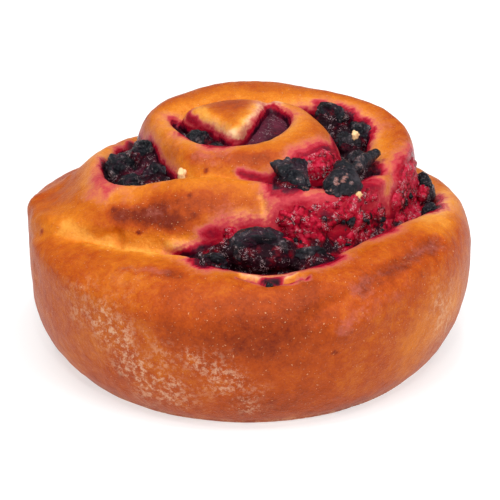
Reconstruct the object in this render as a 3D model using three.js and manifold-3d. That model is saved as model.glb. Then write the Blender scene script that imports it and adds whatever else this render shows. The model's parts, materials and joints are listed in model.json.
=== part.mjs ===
// A baked berry swirl: one strip of sweet yeast dough, wound inwards into a tall bun, with a
// layer of berry filling rolled up between its turns and whole berries lodged in the open pockets.
//
// Millimetres, +Z up. The origin is the middle of the flat underside, and -Y is the front.
// The strip's outer end is sealed to the bun's left side. From there it runs anticlockwise seen
// from above (front, right, back, left) and climbs as it closes in on the knob in the middle.
//
// A winding angle is counted along the strip in degrees: 180 is the left side of the first turn,
// 270 its front, 360 its right, 450 its back, and every 360 more is one turn further in.
import * as THREE from "three";
import { mergeVertices } from "three/addons/utils/BufferGeometryUtils.js";
import Module from "manifold-3d";

// ---------------------------------------------------------------- driving dimensions
const BUN_RADIUS = 55.4; // the widest girth of the outer turn
const GIRTH_HEIGHT = 27; // height of that girth above the base
const HEEL_INSET = [10, 6.2, 3.4, 1.1]; // how far the wall draws in, from the base up to the girth
const HEEL_HEIGHT = [0, 2.6, 8, 16]; // the heights of those draw-ins
const SWIRL_CENTRE = new THREE.Vector2(-1, 3); // plan position the winding turns about

const TAIL_ANGLE = 200; // the seam starts here: the strip's outer end is sealed to the next turn
const TAIL_REACH = 40; // the seam needs this many degrees to open to its full width
const TAIL_PINCH = 0.3; // share of the seam's width that is left at the tail
const TAIL_BURY = 0.3; // the sealed end lies this far inside the bun's wall
const STRIP_THINNEST = 6; // least distance of the seam from the bun's wall
const MIDWAY = 370; // the strip is built in two lengths that meet here
const FILLING_START = 230; // the filling layer starts here, behind the tail
const SEAM_END = 1130; // the filling layer ends here, beside the knob
const STRIP_END = 1160; // the strip's inner end, inside the knob
const STRIP_END_RADIUS = 4; // how near to the swirl's centre that end comes
const ANGLE_STEP = 10; // spacing of the sections, a divisor of 360

const SEAM_WIDTH = 1.8; // the filling layer between two turns, where it is closed
const CLEARANCE = 0.3; // air between neighbouring pieces
const LIP_SINK = 2.5; // how far below its outer neighbour's lip a turn starts to round over

// The seam: the spiral line that the filling follows, as winding angle and distance from the centre.
const SEAM_ROUTE = [
  [190, 45.6], [200, 44.6], [209, 42.2], [220, 39], [235, 36.5], [253, 36.2], [275, 38.6], [300, 36.5],
  [323, 37.8], [345, 42], [372, 45], [420, 43], [470, 38.5], [505, 33.5], [530, 28.6],
  [560, 27.6], [580, 24], [600, 18.8], [625, 17.3], [645, 20], [665, 25], [690, 27.6],
  [745, 28.4], [765, 24], [787, 18], [820, 17.2], [860, 18.6], [875, 17.6], [900, 12.3],
  [940, 10.4], [975, 8.8], [1020, 7.6], [1060, 8], [1095, 9.5], [1130, 11],
];

// The strip's top edge: winding angle, crest height, height of the lip beside the filling, where
// the crest lies across the strip (0 at the filling, 1 at the outside), and how far the slope
// outside the crest sags below a plain rounding.
const TOP_EDGE = [
  [190, 33.4, 31.4, 0.5, 0], [218, 35.5, 33.5, 0.45, 0], [253, 36.5, 34, 0.4, 0],
  [275, 36, 33.5, 0.42, 0], [310, 37, 34.5, 0.42, 0], [336, 37, 34.5, 0.42, 0],
  [360, 35, 32.5, 0.42, 0], [390, 32.8, 30.8, 0.45, 0], [450, 35, 33, 0.42, 0],
  [500, 41, 38.6, 0.24, 8], [530, 44.8, 42.6, 0.18, 11], [550, 46.4, 44.2, 0.17, 10],
  [570, 48, 45.8, 0.2, 5], [600, 49.5, 47.5, 0.25, 0], [630, 50, 48, 0.28, 0],
  [665, 49, 46.5, 0.4, 0], [700, 48.5, 46, 0.5, 0], [740, 51, 48.5, 0.5, 0],
  [765, 54, 52, 0.45, 0], [810, 56, 54.6, 0.42, 0], [860, 54.5, 52.6, 0.45, 0],
  [890, 53, 51, 0.5, 0], [940, 53, 51, 0.5, 0], [990, 53.5, 51.8, 0.5, 0],
  [1040, 54.5, 52.6, 0.5, 0], [1090, 55.5, 54, 0.45, 0], [1160, 56.3, 55, 0.4, 0],
];

// The open pockets: middle winding angle, how far each reaches either way, the extra width that
// the berries have pushed the turns apart by, how deep the filling's sides lie in it, and how far
// the filling heaps up in the middle.
const POCKETS = [
  { at: 277, reach: 24, width: 5.0, depth: 0.4, heap: 3.4 }, // front, between the first two turns
  { at: 366, reach: 22, width: 2.5, depth: 2.0, heap: 1.5 }, // right, between the first two turns
  { at: 549, reach: 36, width: 8.6, depth: 4.5, heap: 2.0 }, // left
  { at: 676, reach: 34, width: 2.2, depth: 1.0, heap: 1.0 }, // front right, above the juice run
  { at: 733, reach: 32, width: 7.0, depth: 5.0, heap: 2.0 }, // back right
  { at: 908, reach: 46, width: 4.4, depth: 3.5, heap: 1.5 }, // middle, left of the knob
  { at: 1050, reach: 66, width: 2.6, depth: 4.0, heap: 0.5 }, // middle, right of the knob
];
const CREASE_DEPTH = 1.2; // how deep the filling lies where the seam is closed
const POCKET_TAPER = 9; // a pocket narrows back to the closed seam over this depth
const FILLING_EDGE = 1; // the filling's sides end this far below its middle, before any heaping
const SLIVER = 0.02; // detail finer than this, left by a cut, is smoothed away
const FILLING_FLOOR = 0.8; // the filling stops just above the underside

const KNOB_START = 790; // the knob fills the seam's last turn, from this winding angle on
const KNOB_INSET = 0.25; // it stands this far inside the seam's wall
const KNOB_HEIGHT = 57; // its top
const KNOB_DOME = [[0.04, 0.35], [0.14, 0.68], [0.34, 0.9], [0.62, 0.98]]; // shares drawn in and risen

// Whole and burst berries, and scraps of skin: name, middle, half lengths along the berry's own
// axes, and how it is turned about X, Y and Z in degrees.
const BERRIES = [
  ["berry_front_big", [2.4, -33.2, 40.4], [7.4, 4.6, 5.0], [36, 0, 3]],
  ["berry_front_left", [-8.0, -34.6, 36.6], [4.0, 2.6, 3.2], [20, -8, -12]],
  ["berry_front_right", [14.6, -32.4, 37.0], [5.0, 2.8, 3.2], [10, 10, 24]],
  ["berry_left_outer", [-31.5, 3.4, 42.6], [4.2, 4.6, 4.6], [10, 0, 20]],
  ["berry_left_upright", [-26.2, 7.6, 44.6], [3.6, 3.4, 4.8], [0, 14, 0]],
  ["berry_left_lower", [-28.6, -5.6, 42.0], [4.4, 4.0, 3.8], [0, 0, 30]],
  ["berry_left_inner", [-22.6, -2.2, 43.4], [3.6, 4.2, 4.2], [0, 20, -20]],
  ["berry_middle_left", [-12.2, 3.4, 50.4], [3.4, 3.0, 3.4], [0, 20, 30]],
  ["berry_middle_front", [-7.6, -3.6, 50.6], [3.2, 2.6, 3.0], [10, 0, -20]],
  ["berry_back_folded", [20.6, 18.4, 50.6], [4.6, 3.2, 3.8], [0, 16, -32]],
  ["berry_back_outer", [27.4, 13.6, 47.2], [3.6, 4.2, 4.0], [0, 0, 20]],
  ["berry_back_inner", [24.4, 7.2, 47.6], [3.6, 4.2, 3.8], [0, 0, 10]],
  ["berry_back_low", [26.6, -0.6, 46.4], [3.6, 4.2, 3.4], [0, 0, 0]],
  ["berry_skin_long", [28.2, -6.6, 49.2], [6.2, 2.2, 2.8], [0, -18, 38]],
  ["berry_right_open", [21.6, -15.0, 48.4], [5.6, 4.4, 5.2], [20, 0, 34]],
  ["berry_front_shrivelled", [9.6, -17.8, 50.0], [6.6, 3.6, 3.2], [14, 24, -26]],
  ["berry_side_upper", [43.4, 4.8, 37.2], [2.4, 3.6, 4.2], [0, 0, 10]],
  ["berry_side_lower", [44.4, -3.4, 34.4], [2.2, 3.2, 2.8], [0, 0, -10]],
];

// ---------------------------------------------------------------- curves along the winding
const radians = THREE.MathUtils.degToRad;

// A smooth curve through hand-set stations: column is the place of the value in each row.
function along(rows, column) {
  const angles = rows.map((row) => row[0]);
  const values = rows.map((row) => row[column]);
  const curve = new THREE.CubicInterpolant(angles, values, 1);
  return (angle) => curve.evaluate(THREE.MathUtils.clamp(angle, angles[0], angles.at(-1)))[0];
}

const seamRoute = along(SEAM_ROUTE, 1);
const wallInset = along(
  HEEL_HEIGHT.map((height, i) => [height, HEEL_INSET[i]]).concat([[GIRTH_HEIGHT, 0]]),
  1,
);
const crestHeight = along(TOP_EDGE, 1);
const lipHeight = along(TOP_EDGE, 2);
const crestShare = along(TOP_EDGE, 3);
const slopeSag = along(TOP_EDGE, 4);

// Sum of one pocket value at a winding angle, each pocket fading out smoothly at its ends.
function pocketSum(angle, value) {
  return POCKETS.reduce((sum, pocket) => {
    const away = Math.abs(angle - pocket.at) / pocket.reach;
    return sum + pocket[value] * (1 - THREE.MathUtils.smoothstep(away, 0.45, 1));
  }, 0);
}

const fillingEdge = (angle) =>
  lipHeight(angle) - CREASE_DEPTH - FILLING_EDGE - pocketSum(angle, "depth");

// Distance from the swirl's centre to the bun's wall, whose middle is the origin.
function wallDistance(angle, inset) {
  const direction = new THREE.Vector2(Math.cos(radians(angle)), Math.sin(radians(angle)));
  const towards = SWIRL_CENTRE.dot(direction);
  const radius = BUN_RADIUS - inset;
  return -towards + Math.sqrt(towards ** 2 + radius ** 2 - SWIRL_CENTRE.lengthSq());
}

// 0 where the seam starts, 1 where it has its full width.
const tailShare = (angle) =>
  THREE.MathUtils.smoothstep(angle, TAIL_ANGLE, TAIL_ANGLE + TAIL_REACH);

// The middle of the seam at a height: low down it leans in where the bun's wall does.
function seamRadius(angle, height) {
  return Math.min(seamRoute(angle), wallDistance(angle, wallInset(height)) - STRIP_THINNEST);
}

// Half the width of the seam at a height: a pocket tapers below the filling's surface.
function seamHalf(angle, height) {
  const edge = fillingEdge(angle);
  const open = THREE.MathUtils.smoothstep(height, edge - POCKET_TAPER, edge);
  const closed = SEAM_WIDTH * THREE.MathUtils.lerp(TAIL_PINCH, 1, tailShare(angle));
  return (closed + open * pocketSum(angle, "width")) / 2;
}

// The two walls beside the seam.
const inwardWall = (angle, height) => seamRadius(angle, height) - seamHalf(angle, height);
const outwardWall = (angle, height) => seamRadius(angle, height) + seamHalf(angle, height);

// The heights at which a wall beside the seam changes direction, from the base up.
function wallHeights(angle) {
  const edge = fillingEdge(angle);
  return [0, (edge - POCKET_TAPER) / 2, edge - POCKET_TAPER, edge];
}

// A point in space from a winding angle, a distance from the swirl's centre and a height.
function place(angle, distance, height) {
  const turn = radians(angle);
  return new THREE.Vector3(
    SWIRL_CENTRE.x + distance * Math.cos(turn),
    SWIRL_CENTRE.y + distance * Math.sin(turn),
    height,
  );
}

// ---------------------------------------------------------------- solids
const wasm = await Module();
wasm.setup();

function solidOf(geometry) {
  const bare = geometry.clone().deleteAttribute("normal").deleteAttribute("uv");
  const merged = mergeVertices(bare, 1e-4);
  return new wasm.Manifold(
    new wasm.Mesh({
      numProp: 3,
      vertProperties: merged.attributes.position.array,
      triVerts: new Uint32Array(merged.index.array),
    }),
  );
}

function geometryOf(solid) {
  const mesh = solid.simplify(SLIVER).getMesh();
  const geometry = new THREE.BufferGeometry();
  geometry.setAttribute("position", new THREE.BufferAttribute(mesh.vertProperties, 3));
  geometry.setIndex(new THREE.BufferAttribute(mesh.triVerts, 1));
  geometry.computeVertexNormals();
  return geometry;
}

// The biggest piece of a solid, without the crumbs that a cut can leave.
const mainPiece = (solid) =>
  solid.decompose().reduce((best, piece) => (piece.volume() > best.volume() ? piece : best));

// Splits a flat ring of points into triangles that run the same way round as the ring.
function capFaces(ring) {
  const normal = new THREE.Vector3();
  ring.forEach((point, i) => normal.add(point.clone().cross(ring[(i + 1) % ring.length])));
  const across = ring[1].clone().sub(ring[0]).normalize();
  const upwards = normal.normalize().cross(across);
  const flat = ring.map((point) => new THREE.Vector2(point.dot(across), point.dot(upwards)));
  return THREE.ShapeUtils.triangulateShape(flat, []);
}

// Joins a row of closed sections, each a ring of points, into one closed body with flat ends.
function loft(sections) {
  const ringSize = sections[0].length;
  const points = sections.flat();
  const faces = [];
  const at = (ring, i) => ring * ringSize + (i % ringSize);
  for (let ring = 0; ring + 1 < sections.length; ring++)
    for (let i = 0; i < ringSize; i++) {
      const quad = [at(ring, i), at(ring, i + 1), at(ring + 1, i + 1), at(ring + 1, i)];
      // Split at the lowest corner, so that two facing walls are split alike and keep their gap.
      const lowest = quad.reduce((best, corner) => (points[corner].z < points[best].z ? corner : best));
      const [a, b, c, d] = quad.indexOf(lowest) % 2 === 0 ? quad : [...quad.slice(1), quad[0]];
      faces.push(a, b, c, a, c, d);
    }
  const last = points.length - ringSize;
  for (const [a, b, c] of capFaces(sections[0])) faces.push(a, c, b);
  for (const [a, b, c] of capFaces(sections.at(-1))) faces.push(last + a, last + b, last + c);
  return new THREE.BufferGeometry().setFromPoints(points).setIndex(faces);
}

function winding(from, to, section) {
  const sections = [];
  for (let angle = from; angle <= to; angle += ANGLE_STEP) sections.push(section(angle));
  return loft(sections);
}

// ---------------------------------------------------------------- the dough strip
const ROUNDING = [30, 60].map(radians); // where the rounded top has its points

// One section across the strip, from the filling side up, over the crest and down the outside.
function doughSection(angle) {
  const firstTurn = angle < TAIL_ANGLE + 360;
  const outerAngle = angle - 360;
  const pastSeam = THREE.MathUtils.smoothstep(angle, SEAM_END, STRIP_END);
  const innerSide = (height) =>
    THREE.MathUtils.lerp(outwardWall(angle, height), STRIP_END_RADIUS, pastSeam);

  const lip = lipHeight(angle);
  const crest = crestHeight(angle);
  const shoulder = firstTurn ? GIRTH_HEIGHT : lipHeight(outerAngle) - LIP_SINK;
  const inner = innerSide(lip);
  const buried = angle < TAIL_ANGLE ? TAIL_BURY : 0;
  const outer = firstTurn ? wallDistance(angle, buried) : inwardWall(outerAngle, shoulder);
  const crestAt = THREE.MathUtils.lerp(inner, outer, crestShare(angle));

  const ring = wallHeights(angle).map((height) => place(angle, innerSide(height), height));
  ring.push(place(angle, inner, lip));
  for (const turn of ROUNDING) {
    const across = crestAt - (crestAt - inner) * Math.cos(turn);
    ring.push(place(angle, across, lip + (crest - lip) * Math.sin(turn)));
  }
  ring.push(place(angle, crestAt, crest));
  for (const turn of ROUNDING.toReversed()) {
    const across = crestAt + (outer - crestAt) * Math.cos(turn);
    const sag = slopeSag(angle) * Math.sin(turn) ** 2 * Math.sin(2 * turn);
    ring.push(place(angle, across, shoulder + (crest - shoulder) * Math.sin(turn) - sag));
  }
  ring.push(place(angle, outer, shoulder));
  if (firstTurn) {
    for (const height of HEEL_HEIGHT.toReversed())
      ring.push(place(angle, wallDistance(angle, wallInset(height) + buried), height));
  } else {
    const heights = wallHeights(outerAngle).map((height) => Math.min(height, shoulder - 0.5));
    for (const height of heights.reverse())
      ring.push(place(angle, inwardWall(outerAngle, height), height));
  }
  return ring;
}

// The middle of the swirl: a domed column inside the seam's last turn.
function knobColumn() {
  const angles = [];
  for (let angle = KNOB_START; angle <= SEAM_END; angle += ANGLE_STEP) angles.push(angle);
  const column = wallHeights(SEAM_END).map((_, level) =>
    angles.map((angle) => {
      const height = wallHeights(angle)[level];
      return place(angle, inwardWall(angle, height) - KNOB_INSET, height);
    }),
  );
  const dome = KNOB_DOME.map(([drawnIn, risen]) =>
    angles.map((angle) => {
      const height = THREE.MathUtils.lerp(fillingEdge(angle), KNOB_HEIGHT, risen);
      return place(angle, (inwardWall(angle, height) - KNOB_INSET) * (1 - drawnIn), height);
    }),
  );
  return loft([...column, ...dome]);
}

// ---------------------------------------------------------------- the filling layer
function fillingSection(angle) {
  const top = fillingEdge(angle) + FILLING_EDGE + pocketSum(angle, "heap");
  const heights = wallHeights(angle);
  const inner = heights.map((height) => place(angle, inwardWall(angle, height) + CLEARANCE, height));
  const outer = heights.map((height) => place(angle, outwardWall(angle, height) - CLEARANCE, height));
  return [...inner, place(angle, seamRadius(angle, top), top), ...outer.reverse()];
}

// ---------------------------------------------------------------- the berries
function berryGeometry(middle, halfLengths, turns, grow) {
  const berry = new THREE.SphereGeometry(1, 10, 7);
  berry.scale(...halfLengths.map((length) => length + grow));
  const euler = new THREE.Euler(...turns.map(radians));
  berry.applyMatrix4(new THREE.Matrix4().makeRotationFromEuler(euler));
  return berry.translate(...middle);
}

const COLOURS = { dough: 0xc9732e, filling: 0x5e0f2a, berry: 0x1c1a22 };

function piece(name, geometry, colour, roughness) {
  const material = new THREE.MeshStandardMaterial({ color: colour, roughness, metalness: 0 });
  const mesh = new THREE.Mesh(geometry, material);
  mesh.name = name;
  return mesh;
}

let dough = solidOf(winding(TAIL_ANGLE - ANGLE_STEP, MIDWAY, doughSection))
  .add(solidOf(winding(MIDWAY, STRIP_END, doughSection)))
  .add(solidOf(knobColumn()));
let filling = solidOf(winding(FILLING_START, SEAM_END, fillingSection));
filling = filling.trimByPlane([0, 0, 1], FILLING_FLOOR);
const swirl = new THREE.Group();
const placed = [];
for (const [name, middle, halfLengths, turns] of BERRIES) {
  let berry = solidOf(berryGeometry(middle, halfLengths, turns, 0));
  const hollow = solidOf(berryGeometry(middle, halfLengths, turns, CLEARANCE));
  for (const neighbour of placed) berry = berry.subtract(neighbour);
  dough = dough.subtract(hollow);
  filling = filling.subtract(hollow);
  placed.push(hollow);
  swirl.add(piece(name, geometryOf(mainPiece(berry)), COLOURS.berry, 0.3));
}
swirl.add(piece("dough_swirl", geometryOf(mainPiece(dough)), COLOURS.dough, 0.45));
swirl.add(piece("berry_filling", geometryOf(mainPiece(filling)), COLOURS.filling, 0.25));

export default swirl;
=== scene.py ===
"""The looks of a baked berry swirl: one wound strip of sweet dough, jam in its open pockets, and
berries lodged in the jam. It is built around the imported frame, in metres, +Z up, front towards -Y."""
import json
import math

import bmesh
import bpy
import numpy as np
from mathutils import Euler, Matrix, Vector
from mathutils.bvhtree import BVHTree
from mathutils.kdtree import KDTree

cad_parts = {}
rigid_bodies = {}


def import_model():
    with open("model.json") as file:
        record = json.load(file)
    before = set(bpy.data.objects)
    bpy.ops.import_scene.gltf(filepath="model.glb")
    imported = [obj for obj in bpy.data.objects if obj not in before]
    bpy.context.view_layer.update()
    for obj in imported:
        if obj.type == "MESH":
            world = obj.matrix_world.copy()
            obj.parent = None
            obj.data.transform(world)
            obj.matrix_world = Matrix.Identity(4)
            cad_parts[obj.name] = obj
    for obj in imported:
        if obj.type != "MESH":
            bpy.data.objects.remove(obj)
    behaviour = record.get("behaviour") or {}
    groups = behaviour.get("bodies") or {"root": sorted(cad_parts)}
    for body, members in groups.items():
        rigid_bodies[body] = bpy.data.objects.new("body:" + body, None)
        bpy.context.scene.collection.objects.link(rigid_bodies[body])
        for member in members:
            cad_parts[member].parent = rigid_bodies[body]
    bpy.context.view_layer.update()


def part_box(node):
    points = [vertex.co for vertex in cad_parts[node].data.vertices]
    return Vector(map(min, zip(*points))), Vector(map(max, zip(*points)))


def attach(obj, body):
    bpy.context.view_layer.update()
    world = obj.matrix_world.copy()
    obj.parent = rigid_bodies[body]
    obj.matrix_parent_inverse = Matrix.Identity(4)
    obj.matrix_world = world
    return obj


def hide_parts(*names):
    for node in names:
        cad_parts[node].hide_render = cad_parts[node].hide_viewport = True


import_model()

MM = 0.001
DOUGH_VOXEL = 0.74 * MM  # the finest detail of the dough's mesh, and of the jam's
JAM_VOXEL = 0.48 * MM
LATTICE = 64  # value noise repeats after this many cells

# ---------------------------------------------------------------- the winding, in millimetres
# A winding angle is counted along the strip in degrees: 180 is the left side of the first turn,
# 270 its front, 360 its right, 450 its back, and every 360 more is one turn further in.
CENTRE = (-1.0, 3.0)  # plan position the winding turns about
TAIL_ANGLE = 200  # the seam starts here, where the strip's outer end is sealed to the side
SEALED = (545, 585)  # over these angles the second turn slips under the outer end
STRIP_END = 1150
STEP = 10
SECOND_LENGTH_FROM = 19  # the dough is drawn in two lengths, and this section starts the second
SHARED_SECTIONS = 3  # how far each length reaches into the other
WALL_PROFILE = [(0, 10), (2.6, 6.2), (8, 3.1), (16, 0.8), (26, 0)]  # height, draw-in from the girth
LIP_SINK = 2.5  # a turn starts to round over this far below its outer neighbour's lip
FUSED = 1.1  # the turns are baked together this far past the seam, below the crease
FOOT = 8  # the sections reach this far below the table, and are cut off flat at it

# The seam between two turns: winding angle, distance from the centre, half the opening between
# the turns at lip height, and how deep below the lip the turns are baked together.
SEAM = [
    (190, 45.6, 0, 1.2), (200, 44.6, 0, 1.2), (209, 42.2, 0, 1.2), (220, 39, 0, 1.4),
    (235, 36.2, 0, 2), (246, 34.6, 0.4, 3.2), (254, 33.9, 2, 5), (264, 34.8, 4, 7),
    (274, 35.7, 5, 8), (284, 36.4, 5.4, 8), (293, 37, 3, 6.5), (303, 37.2, 1.2, 5),
    (323, 37.6, 0.7, 4), (341, 40.6, 0.8, 4), (352, 43.4, 1.8, 5.5), (362, 45.2, 2, 6),
    (374, 45.8, 0.8, 4), (386, 45.2, 0, 2.6), (420, 43, 0, 2.4), (470, 38.5, 0, 2.4),
    (500, 34.8, 0, 2.4), (512, 32.8, 0.5, 3), (519, 31, 2.8, 5), (528, 30.1, 4.8, 8),
    (537, 28.9, 5.5, 9), (547, 28.2, 6, 9), (558, 27.8, 6.6, 9), (566, 27, 6, 8),
    (572, 25, 4, 6), (578, 22.6, 1.4, 4), (588, 20.6, 0.2, 3), (600, 19.4, 0, 2.4),
    (614, 17.6, 0, 2.2), (631, 18.4, 0.3, 2.6), (645, 18.8, 0.7, 3.4), (662, 21.4, 1, 4),
    (676, 25.4, 1.4, 4.5), (688, 28.4, 2, 5), (700, 29, 2.6, 6.5), (713, 27.8, 2.8, 7),
    (732, 26.4, 4.2, 8.5), (746, 26.6, 5.2, 9), (756, 25.4, 4.4, 8.5), (764, 23.4, 2.4, 6),
    (772, 21, 0.7, 3.5), (784, 18.8, 0, 2), (820, 18.2, 0, 1.8), (845, 19, 0, 1.8),
    (860, 20.8, 0.2, 2), (869, 20.6, 0.9, 3), (877, 16.4, 2.4, 5), (886, 12.6, 3.4, 6),
    (896, 10.4, 3.2, 6.5), (915, 9.2, 3, 6), (930, 8.6, 2.4, 5), (946, 7.4, 1.2, 4),
    (963, 6.4, 0.9, 4), (982, 4.9, 1.6, 4.5), (1007, 3.7, 2.6, 5), (1033, 3.9, 2.9, 5),
    (1060, 4.7, 3.2, 5), (1080, 5.8, 3.8, 5), (1100, 7.4, 4.4, 5), (1114, 8.6, 4.2, 4.5),
    (1126, 10, 3, 4), (1136, 12, 1.4, 3), (1142, 14, 0.4, 2), (1150, 16.4, 0, 1.5),
]

# The strip's top edge: winding angle, crest height, lip height, where the crest lies across the
# strip (0 at the filling, 1 at the outside), and how far the slope outside the crest sags.
TOP_EDGE = [
    (190, 33.4, 32.2, 0.5, 0), (218, 35.5, 34.2, 0.45, 0), (235, 37, 35.2, 0.45, 0),
    (253, 37.8, 35.4, 0.4, 0), (275, 37.2, 34.8, 0.42, 0), (310, 38.2, 35.8, 0.42, 0),
    (336, 38.4, 36, 0.42, 0), (360, 35.2, 32.8, 0.42, 0), (390, 32.2, 30.2, 0.42, 0),
    (450, 35, 33, 0.42, 0), (500, 40.6, 38.2, 0.24, 11), (515, 43, 41, 0.2, 13),
    (530, 44.8, 42.8, 0.18, 12), (550, 45.4, 43.2, 0.13, 9),
    (568, 46.6, 44.4, 0.14, 6), (580, 48.6, 46.4, 0.18, 3),
    (592, 50, 48, 0.18, 2), (612, 50.6, 48.4, 0.2, 2), (636, 50.4, 48, 0.22, 2),
    (655, 49.8, 47, 0.4, 1),
    (672, 49, 46, 0.8, 0), (700, 48.8, 46.2, 0.8, 0), (740, 51, 48.5, 0.72, 0),
    (765, 53.4, 51.4, 0.5, 0), (810, 55.4, 54, 0.42, 0), (850, 53.6, 52, 0.45, 0),
    (872, 52.6, 51, 0.4, 0), (890, 52.8, 51.2, 0.35, 0), (940, 53.8, 52, 0.35, 0),
    (990, 54, 52.2, 0.4, 0), (1040, 54.8, 53, 0.4, 0), (1090, 55.8, 54.2, 0.45, 0),
    (1150, 56.3, 55, 0.4, 0),
]

# How high the outer wall stands before the crust rounds over: winding angle and height.
SHOULDER = [
    (190, 31), (230, 29), (275, 26.5), (450, 26),
    (500, 25.5), (522, 27.5), (542, 32), (560, 33.5),
]


def curve(rows, column):
    """A smooth curve through given stations; column is the place of the value in each row."""
    xs = [row[0] for row in rows]
    ys = [row[column] for row in rows]
    slopes = np.gradient(ys, xs)

    def at(x):
        x = min(max(x, xs[0]), xs[-1])
        i = min(max(int(np.searchsorted(xs, x)) - 1, 0), len(xs) - 2)
        span = xs[i + 1] - xs[i]
        t = (x - xs[i]) / span
        return (
            ys[i] * (1 + 2 * t) * (1 - t) ** 2
            + ys[i + 1] * t * t * (3 - 2 * t)
            + span * t * (1 - t) * (slopes[i] * (1 - t) - slopes[i + 1] * t)
        )

    return at


seam_radius = curve(SEAM, 1)
half_opening = curve(SEAM, 2)
crease_depth = curve(SEAM, 3)
crest_height = curve(TOP_EDGE, 1)
lip_height = curve(TOP_EDGE, 2)
crest_share = curve(TOP_EDGE, 3)
slope_sag = curve(TOP_EDGE, 4)
shoulder_height = curve(SHOULDER, 1)


def smooth(x, low, high):
    t = np.clip((x - low) / (high - low), 0, 1)
    return t * t * (3 - 2 * t)


def lerp(a, b, t):
    return a + (b - a) * t


def wall_distance(angle, height):
    """From the winding's centre to the bun's outer wall, which is round about the origin."""
    direction = math.radians(angle)
    towards = CENTRE[0] * math.cos(direction) + CENTRE[1] * math.sin(direction)
    inset = np.interp(height, *zip(*WALL_PROFILE))
    radius = bun_radius - inset
    return -towards + math.sqrt(towards**2 + radius**2 - CENTRE[0] ** 2 - CENTRE[1] ** 2)


def place(angle, distance, height):
    turn = math.radians(angle)
    x = CENTRE[0] + distance * math.cos(turn)
    y = CENTRE[1] + distance * math.sin(turn)
    return Vector((x, y, height)) * MM


dough_low, dough_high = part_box("dough_swirl")
bun_radius = (dough_high.x - dough_low.x) / 2 / MM + 0.3


# ---------------------------------------------------------------- modelling helpers
def deselect_all():
    for thing in bpy.data.objects:
        thing.select_set(False)


def start(name):
    """Names the primitive that was just added and makes it the only selected object."""
    made = bpy.context.object
    made.name = name
    made.data.name = name
    deselect_all()
    made.select_set(True)
    bpy.context.view_layer.objects.active = made
    return made


def work_on(piece):
    deselect_all()
    piece.select_set(True)
    bpy.context.view_layer.objects.active = piece


def apply_modifier(piece, kind, **settings):
    work_on(piece)
    modifier = piece.modifiers.new(kind.title(), kind)
    for key, value in settings.items():
        setattr(modifier, key, value)
    bpy.ops.object.modifier_apply(modifier=modifier.name)


def join(pieces, name):
    deselect_all()
    for piece in pieces:
        piece.select_set(True)
    bpy.context.view_layer.objects.active = pieces[0]
    bpy.ops.object.join()
    pieces[0].name = name
    pieces[0].data.name = name
    return pieces[0]


def vertices_of(piece):
    flat = np.empty(len(piece.data.vertices) * 3)
    piece.data.vertices.foreach_get("co", flat)
    return flat.reshape(-1, 3)


def normals_of(piece):
    flat = np.empty(len(piece.data.vertices) * 3)
    piece.data.vertex_normals.foreach_get("vector", flat)
    return flat.reshape(-1, 3)


def move_vertices(piece, points):
    piece.data.vertices.foreach_set("co", points.astype(np.float64).ravel())
    piece.data.update()


def drawn_along(name, sections):
    """A ring of vertices extruded from section to section, closed at both ends."""
    bpy.ops.mesh.primitive_circle_add(vertices=len(sections[0]), fill_type="NGON")
    piece = start(name)
    order = piece.data.attributes.new("order", "INT", "POINT")
    order.data.foreach_set("value", np.arange(len(sections[0])))
    for corner, point in zip(piece.data.vertices, sections[0]):
        corner.co = point
    bpy.ops.object.mode_set(mode="EDIT")
    bpy.ops.mesh.select_all(action="SELECT")
    for section in sections[1:]:
        bpy.ops.mesh.extrude_region_move()
        cage = bmesh.from_edit_mesh(piece.data)
        layer = cage.verts.layers.int["order"]
        for corner in cage.verts:
            if corner.select:
                corner.co = section[corner[layer]]
        bmesh.update_edit_mesh(piece.data)
    bpy.ops.mesh.select_all(action="SELECT")
    bpy.ops.mesh.normals_make_consistent(inside=False)
    bpy.ops.object.mode_set(mode="OBJECT")
    return piece


# ---------------------------------------------------------------- the dough
def floor_height(angle):
    """Where the turns are baked together: under the crease, or at the bottom of a pocket."""
    return lip_height(angle) - crease_depth(angle)


def dough_section(angle):
    """One section across the strip: up the filling side, over the crest and down the outside."""
    outer_angle = angle - 360
    fuse = float(smooth(angle, *SEALED))
    seam, lip, crest = seam_radius(angle), lip_height(angle), crest_height(angle)
    open_half = half_opening(angle)
    floor = floor_height(angle)
    inner = seam + open_half + 0.3
    ring = [
        (seam - FUSED, -FOOT),
        (seam - FUSED, floor - 6),
        (seam - FUSED, floor - 0.8),
        (seam + open_half * 0.8, floor + 0.6),
        (inner, lip - 0.4),
    ]

    top = shoulder_height(angle)
    free = [(wall_distance(angle, h), h) for h, _ in reversed(WALL_PROFILE)]
    girth = WALL_PROFILE[-1][0]
    free[0] = (wall_distance(angle, girth) - (top - girth) * 0.1, top)
    free.append((wall_distance(angle, 0) - FOOT, -FOOT))
    outer_open = half_opening(outer_angle)
    outer_floor = floor_height(outer_angle)
    outer_seam = seam_radius(outer_angle)
    held = [
        (outer_seam - outer_open - 0.3, lip_height(outer_angle) - LIP_SINK),
        (outer_seam - outer_open * 0.8, outer_floor + 0.6),
        (outer_seam + FUSED, outer_floor - 0.8),
        (outer_seam + FUSED, outer_floor - 6),
        (outer_seam + FUSED, 0),
        (outer_seam + FUSED, -FOOT),
    ]
    outside = [(lerp(a[0], b[0], fuse), lerp(a[1], b[1], fuse)) for a, b in zip(free, held)]

    shoulder, shoulder_at = outside[0]
    crest_at = lerp(inner, shoulder, crest_share(angle))
    for turn in (25, 58):
        turn = math.radians(turn)
        across = crest_at - (crest_at - inner) * math.cos(turn)
        ring.append((across, lip + (crest - lip) * math.sin(turn)))
    ring.append((crest_at, crest))
    for turn in (66, 43, 21):
        turn = math.radians(turn)
        across = crest_at + (shoulder - crest_at) * math.cos(turn)
        sag = slope_sag(angle) * math.sin(turn) ** 2 * math.sin(2 * turn)
        ring.append((across, lerp(shoulder_at, crest, math.sin(turn)) - sag))
    ring += outside
    return [place(angle, distance, height) for distance, height in ring]


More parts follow.
